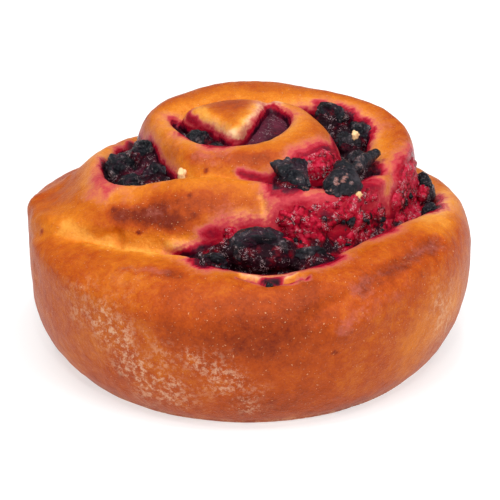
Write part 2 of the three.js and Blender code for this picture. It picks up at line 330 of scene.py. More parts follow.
KNOB_TURNS = range(790, STRIP_END + 1, STEP)
# How the knob domes over: share drawn in to its middle, share of its rise.
KNOB_RISE = [(0.0, 0.0), (0.03, 0.4), (0.12, 0.72), (0.32, 0.92), (0.62, 1.0)]
KNOB_HEIGHT = 57.0


def knob_rings():
    """The strip's inner end: a domed column that fills the last turn."""
    rings = []
    for height in (-FOOT, 20, 38):
        rings.append([place(a, seam_radius(a) + FUSED, height) for a in KNOB_TURNS])
    for drawn, risen in KNOB_RISE:
        ring = []
        for a in KNOB_TURNS:
            foot = floor_height(a)
            reach = seam_radius(a) - half_opening(a) * lerp(0.7, 1.0, risen) - 0.3
            ring.append(place(a, reach * (1 - drawn), lerp(foot, KNOB_HEIGHT, risen)))
        rings.append(ring)
    return rings


def cut_flat(piece):
    """Cuts off what lies below the table and closes the cut."""
    cage = bmesh.new()
    cage.from_mesh(piece.data)
    everything = cage.verts[:] + cage.edges[:] + cage.faces[:]
    made = bmesh.ops.bisect_plane(cage, geom=everything, plane_no=(0, 0, 1), clear_inner=True)
    rim = [part for part in made["geom_cut"] if isinstance(part, bmesh.types.BMEdge)]
    bmesh.ops.holes_fill(cage, edges=rim, sides=0)
    bmesh.ops.recalc_face_normals(cage, faces=cage.faces[:])
    cage.to_mesh(piece.data)
    cage.free()


def make_dough():
    strip = [dough_section(angle) for angle in range(TAIL_ANGLE - STEP, STRIP_END + 1, STEP)]
    lengths = [
        drawn_along("outer_turn", strip[: SECOND_LENGTH_FROM + SHARED_SECTIONS]),
        drawn_along("inner_turns", strip[SECOND_LENGTH_FROM - SHARED_SECTIONS :]),
        drawn_along("knob", knob_rings()),
    ]
    for piece in lengths:
        apply_modifier(piece, "SUBSURF", levels=2, render_levels=2)
    dough = join(lengths, "dough_swirl_baked")
    apply_modifier(dough, "REMESH", mode="VOXEL", voxel_size=DOUGH_VOXEL)
    cut_flat(dough)
    apply_modifier(dough, "REMESH", mode="VOXEL", voxel_size=DOUGH_VOXEL)
    apply_modifier(dough, "SMOOTH", factor=0.5, iterations=5)
    return dough


# ---------------------------------------------------------------- shaping and painting by strokes
def along(stroke, steps=6):
    """Points closely spaced along a stroke of given points, in metres."""
    stroke = np.array(stroke, float) * MM
    if len(stroke) == 1:
        return stroke
    parts = [
        stroke[i] + (stroke[i + 1] - stroke[i]) * t
        for i in range(len(stroke) - 1)
        for t in np.linspace(0, 1, steps, endpoint=False)
    ]
    return np.array(parts + [stroke[-1]])


def distance_to(points, stroke):
    """How far each point is from a stroke, in millimetres."""
    line = along(stroke)
    best = np.full(len(points), 1e9)
    for spot in line:
        best = np.minimum(best, ((points - spot) ** 2).sum(1))
    return np.sqrt(best) / MM


def on_stroke(stroke, shares):
    """Points part of the way along a stroke, for shares from 0 to 1."""
    places = np.linspace(0, 1, len(stroke))
    stroke = np.array(stroke, float)
    return np.stack([np.interp(shares, places, stroke[:, i]) for i in range(3)], 1)


def settled(stroke, face):
    """The stroke laid on the face of a piece."""
    places = on_stroke(stroke, np.linspace(0, 1, 4 * len(stroke)))
    return [np.array(face.find_nearest(place * MM)[0]) / MM for place in places]


def face_of(piece):
    return BVHTree.FromObject(piece, bpy.context.evaluated_depsgraph_get())


def brush(points, stroke, width, ragged=0.0):
    """1 on the stroke, falling smoothly to 0 at width millimetres, with an edge that wanders."""
    away = distance_to(points, stroke)
    if ragged:
        away = away + ragged * width * clouds(points, max(2.5, width * 0.6), 77, 3)
    return 1 - smooth(away, 0, width)


def clouds(points, size, seed, octaves=3):
    """Smooth random values from about -1 to 1, with lumps of the given size in millimetres."""
    rng = np.random.default_rng(seed)
    total = np.zeros(len(points))
    for octave in range(octaves):
        scale = size * MM / 2**octave
        total += value_noise(points / scale, rng) / 2**octave
    return total


def value_noise(cells, rng):
    """Random values at the corners of a repeating lattice, blended smoothly between them."""
    lattice = rng.uniform(-1, 1, (LATTICE, LATTICE, LATTICE))
    cells = cells + rng.uniform(0, LATTICE, 3)
    low = np.floor(cells).astype(int)
    t = cells - low
    t = t * t * (3 - 2 * t)
    total = np.zeros(len(cells))
    for i in (0, 1):
        for j in (0, 1):
            for k in (0, 1):
                share = (
                    np.where(i, t[:, 0], 1 - t[:, 0])
                    * np.where(j, t[:, 1], 1 - t[:, 1])
                    * np.where(k, t[:, 2], 1 - t[:, 2])
                )
                total += share * lattice[tuple(((low + (i, j, k)) % LATTICE).T)]
    return total


def store(piece, name, values):
    layer = piece.data.attributes.new(name, "FLOAT", "POINT")
    layer.data.foreach_set("value", np.clip(values, 0, 1).astype(np.float32))


# ---------------------------------------------------------------- materials
def new_material(name):
    made = bpy.data.materials.new(name)
    made.use_nodes = True
    return made, made.node_tree, made.node_tree.nodes["Principled BSDF"]


def add(tree, kind, **settings):
    node = tree.nodes.new(kind)
    for key, value in settings.items():
        setattr(node, key, value)
    return node


def reads(tree, name):
    """The value that was painted on the piece under this name."""
    return add(tree, "ShaderNodeAttribute", attribute_name=name).outputs["Fac"]


def feed(tree, socket, value):
    if isinstance(value, bpy.types.NodeSocket):
        tree.links.new(value, socket)
    else:
        socket.default_value = value


def maths(tree, operation, *values, clamp=False):
    node = add(tree, "ShaderNodeMath", operation=operation, use_clamp=clamp)
    for socket, value in zip(node.inputs, values):
        feed(tree, socket, value)
    return node.outputs[0]


def times(tree, first, second):
    return maths(tree, "MULTIPLY", first, second)


def blend_colour(tree, share, first, second, how="MIX"):
    node = add(tree, "ShaderNodeMix", data_type="RGBA", blend_type=how)
    feed(tree, node.inputs["Factor"], share)
    feed(tree, node.inputs["A"], first)
    feed(tree, node.inputs["B"], second)
    return node.outputs["Result"]


def ramp(tree, value, *stops):
    node = add(tree, "ShaderNodeValToRGB")
    feed(tree, node.inputs["Fac"], value)
    bar = node.color_ramp.elements
    while len(bar) < len(stops):
        bar.new(0.5)
    for element, (position, colour) in zip(bar, stops):
        element.position = position
        element.color = (*colour, 1)
    return node.outputs["Color"]


def window(tree, value, low, high):
    node = add(tree, "ShaderNodeMapRange", interpolation_type="SMOOTHSTEP")
    feed(tree, node.inputs["Value"], value)
    node.inputs["From Min"].default_value = low
    node.inputs["From Max"].default_value = high
    return node.outputs["Result"]


def grain(tree, scale, detail=3.0, roughness=0.55, kind="ShaderNodeTexNoise"):
    """A noise on the piece's own coordinates; scale is in lumps for each metre."""
    where = add(tree, "ShaderNodeTexCoord").outputs["Object"]
    node = add(tree, kind)
    tree.links.new(where, node.inputs["Vector"])
    node.inputs["Scale"].default_value = scale
    if kind == "ShaderNodeTexNoise":
        node.inputs["Detail"].default_value = detail
        node.inputs["Roughness"].default_value = roughness
        return node.outputs["Fac"]
    return node.outputs["Distance"]


def relief(tree, skin, height, strength, distance):
    """Shades a skin as if height stood out from it by up to distance millimetres."""
    bump = add(tree, "ShaderNodeBump")
    bump.inputs["Strength"].default_value = strength
    bump.inputs["Distance"].default_value = distance * MM
    feed(tree, bump.inputs["Height"], height)
    feed(tree, skin.inputs["Normal"], bump.outputs["Normal"])


def group(name, inputs, outputs):
    """A node group with named sockets; inputs and outputs are (name, kind, value) and (name, kind)."""
    tree = bpy.data.node_groups.new(name, "ShaderNodeTree")
    for label, kind, value in inputs:
        socket = tree.interface.new_socket(label, in_out="INPUT", socket_type=kind)
        socket.default_value = value
    for label, kind in outputs:
        tree.interface.new_socket(label, in_out="OUTPUT", socket_type=kind)
    return tree, add(tree, "NodeGroupInput").outputs, add(tree, "NodeGroupOutput").inputs


def use(tree, what, **values):
    node = add(tree, "ShaderNodeGroup", node_tree=what)
    for label, value in values.items():
        feed(tree, node.inputs[label.capitalize()], value)
    return node.outputs


PALE_CRUMB = (0.80, 0.52, 0.27)
GOLD = (0.72, 0.30, 0.045)
AMBER = (0.56, 0.15, 0.008)
RUSSET = (0.37, 0.055, 0.004)
CHESTNUT = (0.15, 0.015, 0.003)


def crust_group():
    """Baked crust: how brown it is follows the bake value, broken up by mottling of three sizes."""
    tree, given, made = group(
        "baked_crust",
        [("Bake", "NodeSocketFloat", 0.5), ("Mottle", "NodeSocketFloat", 0.3)],
        [("Colour", "NodeSocketColor"), ("Height", "NodeSocketFloat")],
    )
    broad = grain(tree, 65, 5, 0.55)
    fine = grain(tree, 420, 5, 0.75)
    speck = grain(tree, 1700, 2, 0.6)
    mottle = maths(tree, "ADD", times(tree, broad, 0.9), times(tree, fine, 1.1))
    mottle = maths(tree, "ADD", mottle, times(tree, speck, 0.5))
    mottle = times(tree, maths(tree, "SUBTRACT", mottle, 1.25), given["Mottle"])
    level = maths(tree, "ADD", given["Bake"], mottle, clamp=True)
    colour = ramp(
        tree, level, (0.0, PALE_CRUMB), (0.27, GOLD), (0.5, AMBER), (0.75, RUSSET), (1.0, CHESTNUT)
    )
    # pale flecks: egg-wash bubbles, and painted sparkle on the crust
    fleck_and_sparkle = times(tree, window(tree, speck, 0.66, 0.74), 0.45)
    colour = blend_colour(tree, fleck_and_sparkle, colour, (0.86, 0.52, 0.26, 1))
    feed(tree, made["Colour"], colour)
    bumps = maths(tree, "ADD", fine, times(tree, speck, 0.35))
    feed(tree, made["Height"], bumps)
    return tree


def stain_group():
    """Berry juice soaked into dough: a pink halo, then crimson, then almost black."""
    tree, given, made = group(
        "berry_juice",
        [("Stain", "NodeSocketFloat", 0.0), ("Under", "NodeSocketColor", (1, 1, 1, 1))],
        [("Colour", "NodeSocketColor"), ("Soaked", "NodeSocketFloat")],
    )
    ragged = maths(tree, "SUBTRACT", grain(tree, 260, 5, 0.7), 0.5)
    threads = maths(tree, "SUBTRACT", grain(tree, 1100, 3, 0.7), 0.5)
    ragged = maths(tree, "MULTIPLY_ADD", threads, 0.7, ragged)
    amount = maths(tree, "ADD", given["Stain"], times(tree, ragged, 0.36))
    amount = times(tree, amount, window(tree, given["Stain"], 0.0, 0.08))
    juice = ramp(
        tree,
        amount,
        (0.1, (0.58, 0.20, 0.15)),
        (0.32, (0.47, 0.045, 0.06)),
        (0.55, (0.32, 0.003, 0.016)),
        (0.8, (0.10, 0.003, 0.014)),
        (1.0, (0.015, 0.001, 0.005)),
    )
    share = window(tree, amount, 0.02, 0.4)
    feed(tree, made["Colour"], blend_colour(tree, share, given["Under"], juice))
    feed(tree, made["Soaked"], share)
    return tree


def glint_group():
    """Thin wandering lines of painted glint, standing in for wet light on jam and skins, gathered in
    clusters.
    """
    tree, given, made = group(
        "painted_glint_squiggles",
        [("Size", "NodeSocketFloat", 1.0), ("Spread", "NodeSocketFloat", 0.5)],
        [("Mask", "NodeSocketFloat")],
    )
    wander = grain(tree, 1250, 3, 0.6)
    away = maths(tree, "ABSOLUTE", maths(tree, "SUBTRACT", wander, 0.5))
    line = window(tree, times(tree, away, given["Size"]), 0.024, 0.006)
    cluster = window(tree, maths(tree, "ADD", grain(tree, 420, 3, 0.7), given["Spread"]), 1.0, 1.1)
    feed(tree, made["Mask"], times(tree, line, cluster))
    return tree


baked_crust = crust_group()
berry_juice = stain_group()
painted_glint_squiggles = glint_group()


def crust_material():
    made, tree, skin = new_material("egg_washed_crust")
    crust = use(tree, baked_crust, bake=reads(tree, "bake"), mottle=0.40)
    juicy = use(tree, berry_juice, stain=reads(tree, "stain"), under=crust["Colour"])
    blister = times(tree, window(tree, grain(tree, 620, 6, 0.8), 0.47, 0.6), reads(tree, "flour"))
    floury = blend_colour(
        tree, times(tree, blister, 0.62), juicy["Colour"], (0.70, 0.46, 0.30, 1)
    )
    feed(tree, skin.inputs["Base Color"], floury)
    gloss = maths(tree, "MULTIPLY_ADD", reads(tree, "wet"), -0.26, 0.38)
    gloss = maths(tree, "MULTIPLY_ADD", blister, 0.3, gloss)
    feed(tree, skin.inputs["Roughness"], gloss)
    skin.inputs["IOR"].default_value = 1.2
    relief(tree, skin, crust["Height"], 0.6, 0.7)
    return made


# ---------------------------------------------------------------- shaping the baked dough
VALLEY = [(-44, -16, 37), (-33, -22, 35), (-24, -28, 36), (-13, -31, 37)]
SIDE_FOLD = [(14, -52, 31), (26, -44, 35), (38, -31, 36), (46, -21, 36)]
LIP_SPLIT = [(-1, -42, 37), (5, -45, 37), (13, -42, 37)]
VALLEY_RIM = [(-39, -22, 36), (-31, -27, 36), (-20, -32, 37), (-12, -34, 37)]
BULGE = [(-18, -28, 38), (-14, -29, 37), (-11, -28, 36)]
SCRATCH = [(3, -22, 48), (4, -24, 45)]
CREST_DENT = [(30, -8, 48), (36, -8, 48)]
DENTS = [
    # stroke, width and depth; a minus depth swells the dough instead
    (VALLEY, 3.4, 0.8),
    (VALLEY_RIM, 2, -0.7),
    ([(-31, -21, 38), (-31, -23, 35)], 1.8, 1.4),
    (SIDE_FOLD, 3.2, 0.9),
    ([(22, -50, 28), (38, -34, 33)], 6, -0.8),
    (LIP_SPLIT, 2, 2.4),
    (BULGE, 2.8, -1.3),
    (CREST_DENT, 3.6, 1.1),
    (SCRATCH, 1.2, 0.7),
    ([(-50, -6, 33), (-44, -17, 37)], 5, -0.9),
    ([(-53, 2, 34), (-46, 10, 38)], 4, -0.7),
]


def shape_dough(dough):
    points = vertices_of(dough)
    normals = normals_of(dough)
    rise = 0.3 * clouds(points, 22, 1, 2) + 0.2 * clouds(points, 7, 2, 2)
    rise += 0.07 * clouds(points, 1.7, 3, 2)
    face = face_of(dough)
    for stroke, width, depth in DENTS:
        rise -= depth * brush(points, settled(stroke, face), width, 0.2)
    rough = brush(points, VALLEY[1:], 4, 0.3)
    rise += 0.9 * rough * clouds(points, 2.6, 4, 2)
    rise *= smooth(points[:, 2] / MM, 0.2, 3)
    move_vertices(dough, points + normals * rise[:, None] * MM)
    apply_modifier(dough, "SMOOTH", factor=0.4, iterations=1)


def flatten_base(dough):
    """The bun stands flat on the tray, with a faint winding pressed into its underside."""
    points = vertices_of(dough)
    turns = [place(a, seam_radius(a), 0) / MM for a in range(TAIL_ANGLE, STRIP_END, STEP)]
    under = points[:, 2] < 1.2 * MM
    groove = np.zeros(len(points))
    groove[under] = brush(points[under], turns, 2.0)
    lift = (0.5 * groove + 0.12 + 0.12 * clouds(points, 5, 6, 2)) * MM
    height = points[:, 2].copy()
    pressed = np.clip(lift, 0, None) * smooth(-height / MM, -1.2, -0.3)
    kept = height * smooth(height / MM, 0.3, 1.2)
    points[:, 2] = np.where(under, pressed + kept, height)
    move_vertices(dough, points)


# ---------------------------------------------------------------- the filling
# The jam standing in the open seam: winding angle, how far its top lies below the lip, and how
# much higher its inner edge climbs.
JAM_RUNS = [
    [(243, 1.2, 0), (254, 0.6, 3), (264, 0.6, 5), (284, 0.6, 6), (296, 0.5, 5), (310, 0.4, 4),
     (330, 0.4, 3), (346, 0.6, 3), (362, 0.9, 3), (376, 1.6, 0)],
    [(511, 2.2, 1), (524, 2.8, 3), (545, 2.6, 5), (566, 2.2, 5), (574, 1.8, 3), (579, 1.6, 1)],
    [(640, 1.4, 0), (655, 0.8, 0.5), (676, 0.8, 1), (690, 1.4, 2), (710, 2.4, 3), (745, 2.4, 3),
     (762, 2.4, 2), (773, 1.8, 0.6)],
    [(866, 1.8, 1), (884, 2.6, 2), (910, 2, 2.4), (940, 1.2, 1), (965, 1.2, 0), (990, 1.8, 0),
     (1040, 2, 0), (1090, 2, 1), (1120, 1.8, 1), (1143, 1.2, 0)],
]


def jam_section(angle, sink, climb):
    middle = seam_radius(angle)
    half = half_opening(angle) + 0.9
    top = lip_height(angle) - sink
    bottom = floor_height(angle) - 1.2
    return [
        place(angle, middle + half, bottom),
        place(angle, middle + half, lerp(bottom, top, 0.5)),
        place(angle, middle + half, top - 0.5),
        place(angle, middle + half * 0.6, top + 0.2),
        place(angle, middle, top + climb * 0.35 + 0.4),
        place(angle, middle - half * 0.6, top + climb * 0.75 + 0.2),
        place(angle, middle - half, top + climb - 0.5),
        place(angle, middle - half, lerp(bottom, top, 0.5)),
        place(angle, middle - half, bottom),
    ]


# Where pulp and juice boiled over the second turn's face and around the third turn.
BOILED_OVER = [
    # stroke, width, thickness
    ([(10, -26, 42), (20, -25, 43)], 5, 1.6),
    ([(14, -27, 39), (21, -25, 38)], 4.5, 1.6),
    ([(23, -22, 44), (27, -20, 40), (31, -16, 39)], 5.2, 1.5),
    ([(17, -25, 45), (24, -21, 46), (30, -17, 45)], 3.6, 1),
    ([(37, -8, 40), (38, -5, 42), (40, 2, 42)], 5, 1.4),
    ([(38, -6, 36), (40, 0, 38)], 3.6, 1.2),
    ([(39, -3, 45), (40, 4, 44)], 3.4, 1.5),
    ([(15, -11, 50), (20, -7, 50)], 4.6, 1.2),
    ([(-4, -27, 40), (8, -28, 40)], 3.5, 1),
]

# Dark strands that cross the pulp.
BLACK_STRANDS = [
    ([(18, -25, 44), (26, -21, 40)], 2.2),
    ([(27, -20, 41), (31, -16, 39)], 2.2),
    ([(19, -27, 36), (26, -22, 35), (34, -13, 34)], 4.4),
    ([(8, -28, 38), (18, -27, 36)], 4.6),
    ([(38, -8, 39), (39, 2, 36)], 2.2),
]

# Where the jam has dried smooth, with a lighter mauve painted on as sheen.
SMOOTH_SHEEN_PATCHES = [
    # stroke, width
    ([(3, 4, 51), (8, 8, 52), (10, 14, 52)], 6),
    ([(-28, 0, 42), (-22, 2, 44)], 4),
]

# Heaps of jam that stand up in the pockets, off the run of the seam.
JAM_HEAPS = [
    # middle, half widths
    ((-29, 14, 40), (3, 4, 3)),
    ((-26, 17, 42), (3, 3, 3)),
    ((-24, 3, 43), (3, 5, 4)),
    ((-30, -1, 40), (4, 6, 4)),
    ((10, -16, 47), (5, 5, 3)),
    ((22, -15, 46), (4, 6, 3)),
    ((28, -7, 47), (3, 4, 3)),
    ((24, 14, 47), (4, 5, 3)),
    ((4, -32, 37), (12, 4, 3)),
]


def boiled_mask(points, reach=1.0):
    total = np.zeros(len(points))
    for stroke, width, thick in BOILED_OVER:
        total = np.maximum(total, thick * brush(points, stroke, width * reach))
    return total


def pulp_coat(dough):
    """A coat of pulp that follows the dough's face where it boiled over."""
    work_on(dough)
    bpy.ops.object.duplicate()
    coat = bpy.context.object
    coat.name = "pulp_coat"
    points = vertices_of(coat)
    thick = boiled_mask(points)
    bare = thick < 0.12
    cage = bmesh.new()
    cage.from_mesh(coat.data)
    cage.verts.ensure_lookup_table()
    bmesh.ops.delete(cage, geom=[v for v in cage.verts if bare[v.index]], context="VERTS")
    cage.to_mesh(coat.data)
    cage.free()
    points = vertices_of(coat)
    normals = normals_of(coat)
    thick = boiled_mask(points) * (0.8 + 0.5 * clouds(points, 3, 11, 2))
    move_vertices(coat, points + normals * (np.clip(thick, 0, 3) - 0.35)[:, None] * MM)
    apply_modifier(coat, "SOLIDIFY", thickness=1.4 * MM, offset=-1)
    return coat


def jam_heap(number, middle, halves):
    """A rounded, uneven lump of jam."""
    bpy.ops.mesh.primitive_ico_sphere_add(subdivisions=3, radius=1)
    heap = start("jam_heap_%d" % number)
    unit = vertices_of(heap)
    uneven = 1 + 0.16 * clouds(unit, 500, 50 + number, 2)
    move_vertices(heap, (unit * uneven[:, None] * np.array(halves) + np.array(middle)) * MM)
    return heap


def jam_bed(number, node, halves, *shape):
    """The jam that a berry has sunk into, a little wider than the berry and lower."""
    low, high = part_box(node)
    middle = np.array((low + high) / 2) / MM - np.array((0, 0, 0.34 * halves[2]))
    return jam_heap(60 + number, middle, np.array(halves) * (1.12, 1.12, 0.9))


def make_jam(dough):
    runs = []
    for number, run in enumerate(JAM_RUNS):
        sink = curve(run, 1)
        climb = curve(run, 2)
        angles = np.arange(run[0][0], run[-1][0] + 1, 6)
        sections = [jam_section(a, sink(a), climb(a)) for a in angles]
        piece = drawn_along("jam_run_%d" % number, sections)
        apply_modifier(piece, "SUBSURF", levels=1, render_levels=1)
        runs.append(piece)
    heaps = [jam_heap(number, *row) for number, row in enumerate(JAM_HEAPS)]
    beds = [jam_bed(number, *row) for number, row in enumerate(BERRIES)]
    jam = join(runs + heaps + beds + [pulp_coat(dough)], "berry_filling_jam")
    apply_modifier(jam, "REMESH", mode="VOXEL", voxel_size=JAM_VOXEL)
    points = vertices_of(jam)
    normals = normals_of(jam)
    pulp = smooth(boiled_mask(points, 1.5) + 0.2 * clouds(points, 3.5, 24, 3), 0.05, 0.35)
    for stroke, width in BLACK_STRANDS:
        pulp *= 1 - 0.95 * brush(points, stroke, width, 0.35)
    smooth_sheen = np.zeros(len(points))
    for stroke, width in SMOOTH_SHEEN_PATCHES:
        smooth_sheen = np.maximum(smooth_sheen, brush(points, stroke, width, 0.3))
    rise = 0.6 * clouds(points, 4.5, 21, 2) + (0.25 + 0.25 * pulp) * clouds(points, 1.8, 22, 2)
    rise += 0.3 * np.abs(clouds(points, 1.3, 23, 1))
    rise *= 1 - 0.6 * smooth_sheen
    move_vertices(jam, points + normals * rise[:, None] * MM)
    store(jam, "pulp", pulp)
    store(jam, "smooth_sheen", smooth_sheen)
    bpy.ops.object.shade_smooth()
    return jam


def jam_material():
    made, tree, skin = new_material("blueberry_jam")
    lumps = grain(tree, 330, 4, 0.6)
    fine = grain(tree, 1100, 4, 0.7)
    beads = grain(tree, 900, kind="ShaderNodeTexVoronoi")
    pulp = reads(tree, "pulp")
    level = maths(tree, "MULTIPLY_ADD", pulp, 0.4, times(tree, lumps, 0.72))
    level = maths(tree, "MULTIPLY_ADD", maths(tree, "SUBTRACT", fine, 0.5), 0.35, level)
    # painted shade: the pulp is darker between the beads, in the dimples
    shade_between_beads = times(tree, window(tree, beads, 0.35, 0.95), times(tree, pulp, -0.24))
    level = maths(tree, "ADD", level, shade_between_beads)
    colour = ramp(
        tree,
        level,
        (0.15, (0.003, 0.001, 0.002)),
        (0.38, (0.015, 0.001, 0.005)),
        (0.52, (0.11, 0.001, 0.006)),
        (0.68, (0.34, 0.001, 0.016)),
        (0.95, (0.62, 0.035, 0.08)),
    )
    smooth_sheen = reads(tree, "smooth_sheen")
    # painted sheen: mauve over the smooth patches of jam
    colour = blend_colour(tree, times(tree, smooth_sheen, 0.7), colour, (0.13, 0.022, 0.045, 1))
    spread = maths(tree, "MULTIPLY_ADD", pulp, 0.02, 0.49)
    # painted glints: thin pale pink lines over the jam, strongest on the pulp
    painted_glint = use(tree, painted_glint_squiggles, size=0.8, spread=spread)["Mask"]
    painted_glint = times(tree, painted_glint, maths(tree, "MULTIPLY_ADD", smooth_sheen, -0.6, 1.0))
    glint_share = times(tree, painted_glint, maths(tree, "MULTIPLY_ADD", pulp, 0.2, 0.6))
    colour = blend_colour(tree, glint_share, colour, (0.86, 0.62, 0.66, 1))
    feed(tree, skin.inputs["Base Color"], colour)
    skin.inputs["Roughness"].default_value = 0.12
    skin.inputs["IOR"].default_value = 1.18
    height = maths(tree, "ADD", fine, times(tree, beads, -0.5))
    relief(tree, skin, maths(tree, "MULTIPLY_ADD", painted_glint, 0.4, height), 0.8, 0.8)
    return made


# ---------------------------------------------------------------- the berries
# Turns are in degrees; wrinkles, folds and caving in are shares of the berry's size.
BERRIES = [
    # node, half sizes, turns, wrinkles, folds, how far its face has caved in
    ("berry_front_big", (7.4, 4.6, 5.0), (20, 0, 3), 0.17, 0.2, 0.4),
    ("berry_front_left", (4.0, 2.6, 3.2), (20, -8, -12), 0.2, 0.35, 0.15),
    ("berry_front_right", (5.0, 2.8, 3.2), (10, 10, 24), 0.25, 0.45, 0.2),
    ("berry_left_outer", (4.2, 4.6, 4.6), (10, 0, 20), 0.22, 0.3, 0.2),
    ("berry_left_upright", (3.2, 3.2, 4.6), (0, 14, 0), 0.18, 0.25, 0.15),
    ("berry_left_lower", (4.4, 4, 3.8), (0, 0, 30), 0.22, 0.35, 0.2),
    ("berry_left_inner", (3.6, 4.2, 4.2), (0, 20, -20), 0.22, 0.35, 0.2),
    ("berry_middle_left", (3.4, 3, 3.4), (0, 20, 30), 0.2, 0.3, 0.15),
    ("berry_middle_front", (3.2, 2.6, 3), (10, 0, -20), 0.25, 0.35, 0.15),
    ("berry_back_folded", (4.4, 3.2, 3.6), (0, 16, -32), 0.22, 0.5, 0.2),
    ("berry_back_outer", (3.6, 4.2, 4), (0, 0, 20), 0.2, 0.3, 0.2),
    ("berry_back_inner", (3.6, 4.2, 3.8), (0, 0, 10), 0.2, 0.3, 0.2),
    ("berry_back_low", (3.6, 4.2, 3.4), (0, 0, 0), 0.2, 0.35, 0.2),
    ("berry_side_upper", (2.4, 3.6, 4.2), (0, 0, 10), 0.2, 0.3, 0.1),
    ("berry_side_lower", (2.2, 3.2, 2.8), (0, 0, -10), 0.2, 0.3, 0.1),
]
SKINS = [
    # node, one edge, the other edge, how far the middle swells, crumpling, worn patches
    ("berry_front_shrivelled", [(4, -12, 51), (8, -17, 50), (14, -24, 48)],
     [(6, -9, 53), (13, -11, 53), (16, -21, 49)], 1, 0.8, 0.35),
    ("berry_right_open", [(17, -20, 49), (20, -15, 51), (22, -8, 51)],
     [(23, -23, 48), (27, -18, 49), (26, -10, 50)], 1.4, 0.9, 0.9),
    ("berry_skin_long", [(24, -11, 50), (27, -7, 51), (31, -2, 51)],
     [(26, -12, 49), (29, -8, 50), (32, -4, 51)], 0.9, 0.6, 0.4),
]


def finish_berry(piece, node):
    bpy.ops.object.shade_smooth()
    piece.data.materials.append(berry_skin)
    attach(piece, "root")
    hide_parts(node)


def make_berry(number, node, halves, turns, wrinkle, fold, caved):
    """A baked berry: a ball whose skin has shrunk into wrinkles and folds and caved in at the front."""
    bpy.ops.mesh.primitive_ico_sphere_add(subdivisions=6, radius=1)
    berry = start(node + "_baked")
    unit = vertices_of(berry)
    unit /= np.linalg.norm(unit, axis=1)[:, None]
    warped = unit + 0.12 * np.stack([clouds(unit, 500, 400 + number + i, 2) for i in range(3)], 1)
    creases = np.sqrt(np.abs(clouds(warped, 560, 100 + number, 3))) - 0.55
    folds = np.sqrt(np.abs(clouds(warped, 1100, 200 + number, 2))) - 0.5
    pitted = clouds(unit, 150, 300 + number, 2)
    facing = unit @ np.array((0.1, -0.9, 0.42))
    radius = 1 + wrinkle * creases + fold * 0.4 * folds + 0.03 * pitted
    radius += caved * (0.35 * brush_band(facing, 0.62, 0.16) - smooth(facing, 0.62, 0.95))
    radius *= 1.02 / np.percentile(radius, 92)
    shaped = unit * radius[:, None] * np.array(halves) * MM
    turn = np.array(Euler([math.radians(t) for t in turns]).to_matrix())
    low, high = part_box(node)
    move_vertices(berry, shaped @ turn.T + np.array((low + high) / 2))
    store(berry, "hollow", 0.5 - creases - folds * fold)
    store(berry, "torn", np.full(len(unit), 0.4 * fold))
    finish_berry(berry, node)


def brush_band(values, middle, half):
    """1 where values equal middle, falling smoothly to 0 half away on both sides."""
    return 1 - smooth(np.abs(values - middle), 0, half)


def make_skin(number, node, near_edge, far_edge, swell, crumple, worn):
    """A berry's split skin: a ragged crumpled sheet stretched between two edges."""
    bpy.ops.mesh.primitive_grid_add(x_subdivisions=72, y_subdivisions=48, size=2)
    sheet = start(node + "_baked")
    flat = vertices_of(sheet)
    x = flat[:, 0] * np.sqrt(1 - flat[:, 1] ** 2 / 2)
    y = flat[:, 1] * np.sqrt(1 - flat[:, 0] ** 2 / 2)
    rim = np.hypot(x, y)
    ragged = 1 + 0.24 * rim**2 * clouds(np.stack([x, y, 0 * x], 1), 420, 500 + number, 3)
    x, y = x * ragged, y * ragged
    along_sheet = np.clip((x + 1) / 2, 0, 1)
    near = on_stroke(near_edge, along_sheet)
    far = on_stroke(far_edge, along_sheet)
    points = near + (far - near) * ((y + 1) / 2)[:, None]
    up = np.cross(near[-1] - near[0], far[0] - near[0])
    up *= np.sign(up[2]) / np.linalg.norm(up)
    ridges = np.sqrt(np.abs(clouds(points * MM, 3.6, 510 + number, 3)))
    height = swell * (1 - rim**2) + crumple * (2 * ridges - 0.8) - 0.8 * smooth(rim, 0.7, 1)
    move_vertices(sheet, (points + height[:, None] * up) * MM)
    store(sheet, "hollow", 0.9 - ridges)
    store(sheet, "torn", worn * (0.4 + 0.6 * brush_band(y, 0, 0.7)))
    apply_modifier(sheet, "SOLIDIFY", thickness=0.8 * MM, offset=-1)
    apply_modifier(sheet, "SUBSURF", levels=1, render_levels=1)
    finish_berry(sheet, node)


def scatter(name, strokes, spacing, low, high, piece):
    """Small wrinkled bits strewn along strokes and settled on the face of a piece."""
    rng = np.random.default_rng(17)
    face = face_of(piece)
    bits = []
    for stroke in strokes:
        run = np.linalg.norm(np.diff(np.array(stroke, float), axis=0), axis=1).sum()
        for share in rng.uniform(0, 1, max(1, int(run / spacing))):
            spot = on_stroke(stroke, [share])[0] + rng.normal(0, 1, 3) * (len(stroke) > 1)
            seat = np.array(face.find_nearest(spot * MM)[0])
            bpy.ops.mesh.primitive_ico_sphere_add(subdivisions=3, radius=1)
            bit = start("bit")
            unit = vertices_of(bit)
            size = rng.uniform(low, high) * rng.uniform(0.5, 1.4, 3)
            uneven = 1 + 0.5 * clouds(unit, 700, int(rng.integers(900)), 2)
            move_vertices(bit, unit * uneven[:, None] * size * MM + seat)
            bits.append(bit)
    whole = join(bits, name)
    bpy.ops.object.shade_smooth()
    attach(whole, "root")
    return whole


